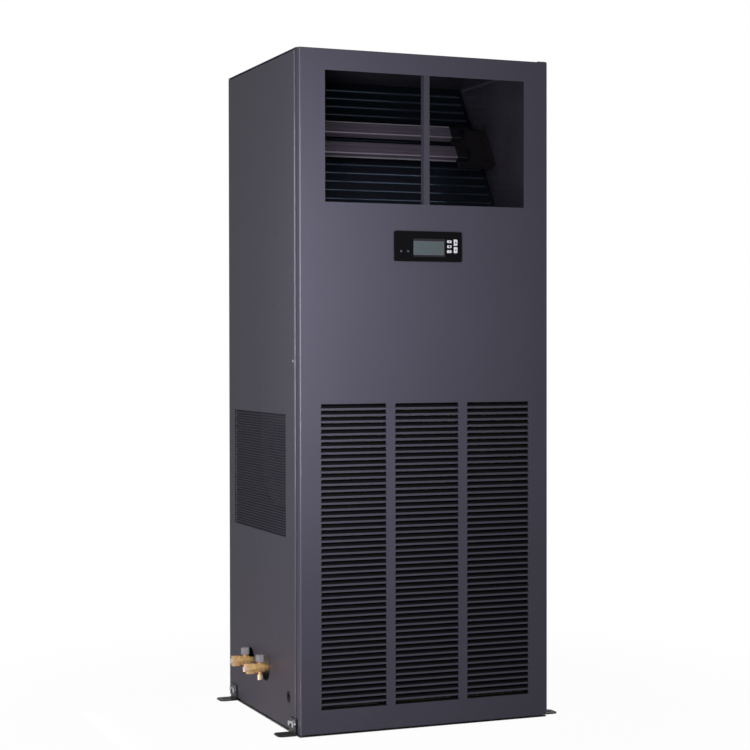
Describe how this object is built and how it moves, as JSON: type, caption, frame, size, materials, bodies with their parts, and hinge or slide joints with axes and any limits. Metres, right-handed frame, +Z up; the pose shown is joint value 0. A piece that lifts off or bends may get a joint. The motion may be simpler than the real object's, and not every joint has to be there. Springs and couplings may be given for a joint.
{
  "type": "computer room air conditioner",
  "caption": "Tall floor-standing close-control air conditioner with a hinged door, louvred return air grille, open air outlet, leaning coil, reheat bars, blower and side valves.",
  "frame": {"origin": "centre of the cabinet's base on the floor", "axes": "+X to the right seen from the front, +Y to the rear with the door facing -Y, +Z up; the refrigerant valves are on the -X side"},
  "size_m": [0.8056, 0.6075, 1.752],
  "materials": {
    "bezel_plastic": "moulded",
    "black_paint": "black enamel",
    "black_plastic": "moulded",
    "board": "printed circuit board",
    "bracket_paint": "black powder coat",
    "brass": "turned brass",
    "bush_plastic": "acetal",
    "button_plastic": "moulded",
    "cabinet_paint": "dark grey powder coat, satin",
    "coil_tube": "tube with the coil's dark coating",
    "copper": "drawn copper, dull",
    "filter_card": "stiff card frame",
    "filter_cloth": "pleated media",
    "fin_aluminium": "coated fins",
    "frame_paint": "dark grey powder coat, matt",
    "grey_plastic": "moulded",
    "heater_metal": "extruded, satin",
    "liner_board": "faced insulation board",
    "motor_paint": "dark grey enamel",
    "red_plastic": "moulded",
    "screen": "display cover",
    "seal_rubber": "matt",
    "white_plastic": "moulded",
    "zinc_sheet": "galvanised sheet",
    "zinc_steel": "zinc plated"
  },
  "bodies": {
    "cabinet": {"anchor_brackets": "bracket_paint", "base_pan": "frame_paint", "blower_deck": "zinc_sheet", "blower_housing_left": "zinc_sheet", "blower_housing_right": "zinc_sheet", "blower_motor": "motor_paint", "bracket_bolts": "zinc_steel", "compressor": "black_paint", "compressor_grommets": "seal_rubber", "contactors": "black_plastic", "discharge_pipe": "copper", "drain_hose": "seal_rubber", "drain_pan": "zinc_sheet", "electrical_box": "zinc_sheet", "evaporator_coil": "fin_aluminium", "evaporator_tubes": "coil_tube", "filter_drier": "black_paint", "flare_nuts": "brass", "flare_plugs": "white_plastic", "front_posts": "frame_paint", "front_rails": "frame_paint", "heater_bars": "heater_metal", "heater_brackets": "frame_paint", "heater_end_caps": "black_plastic", "hinge_pins": "zinc_steel", "isolator_switch": "black_plastic", "left_side_panel": "cabinet_paint", "liquid_pipes": "copper", "motor_cradle": "zinc_sheet", "panel_screws": "zinc_steel", "plenum_liners": "liner_board", "port_caps": "brass", "rear_panel": "cabinet_paint", "rear_posts": "frame_paint", "right_side_panel": "cabinet_paint", "service_valves": "brass", "side_grille": "cabinet_paint", "stem_caps": "grey_plastic", "suction_pipe": "copper", "top_cover": "cabinet_paint", "valve_plate": "zinc_sheet"},
    "door": {"door_panel": "cabinet_paint", "louvre_inserts": "cabinet_paint", "window_mullion": "cabinet_paint", "door_gasket": "seal_rubber", "hinge_bushes": "bush_plastic", "display_bezel": "bezel_plastic", "display_board": "board", "display_screen": "screen"},
    "blower_rotor": {"blower_shaft": "zinc_steel", "blower_wheel_left": "zinc_sheet", "blower_wheel_right": "zinc_sheet"},
    "air_filter": {"filter_frame": "filter_card", "filter_media": "filter_cloth"},
    "isolator_handle": {"isolator_handle": "red_plastic"},
    "button_up": {"button_up": "button_plastic"},
    "button_enter": {"button_enter": "button_plastic"},
    "button_down": {"button_down": "button_plastic"},
    "button_power": {"button_power": "button_plastic"},
    "button_silence": {"button_silence": "button_plastic"}
  },
  "joints": [
    {"name": "door_hinge", "type": "hinge", "parent": "cabinet", "child": "door", "pos_m": [0.343, -0.286, 0], "axis": [0, 0, 1], "range_deg": [0, 105]},
    {"name": "blower_spin", "type": "hinge", "parent": "cabinet", "child": "blower_rotor", "pos_m": [0, 0.04, 0.7], "axis": [1, 0, 0], "continuous": true},
    {"name": "filter_lift", "type": "slide", "parent": "cabinet", "child": "air_filter", "axis": [0, 0, 1], "range_m": [0, 0.012]},
    {"name": "isolator_turn", "type": "hinge", "parent": "cabinet", "child": "isolator_handle", "pos_m": [0.13, -0.2, 0.98], "axis": [0, 1, 0], "range_deg": [0, 90]},
    {"name": "button_up_press", "type": "slide", "parent": "door", "child": "button_up", "axis": [0, 1, 0], "range_m": [0, 0.001], "stiffness_N_per_m": 300, "springref_m": -0.0005},
    {"name": "button_enter_press", "type": "slide", "parent": "door", "child": "button_enter", "axis": [0, 1, 0], "range_m": [0, 0.001], "stiffness_N_per_m": 300, "springref_m": -0.0005},
    {"name": "button_down_press", "type": "slide", "parent": "door", "child": "button_down", "axis": [0, 1, 0], "range_m": [0, 0.001], "stiffness_N_per_m": 300, "springref_m": -0.0005},
    {"name": "button_power_press", "type": "slide", "parent": "door", "child": "button_power", "axis": [0, 1, 0], "range_m": [0, 0.001], "stiffness_N_per_m": 300, "springref_m": -0.0005},
    {"name": "button_silence_press", "type": "slide", "parent": "door", "child": "button_silence", "axis": [0, 1, 0], "range_m": [0, 0.001], "stiffness_N_per_m": 300, "springref_m": -0.0005}
  ]
}
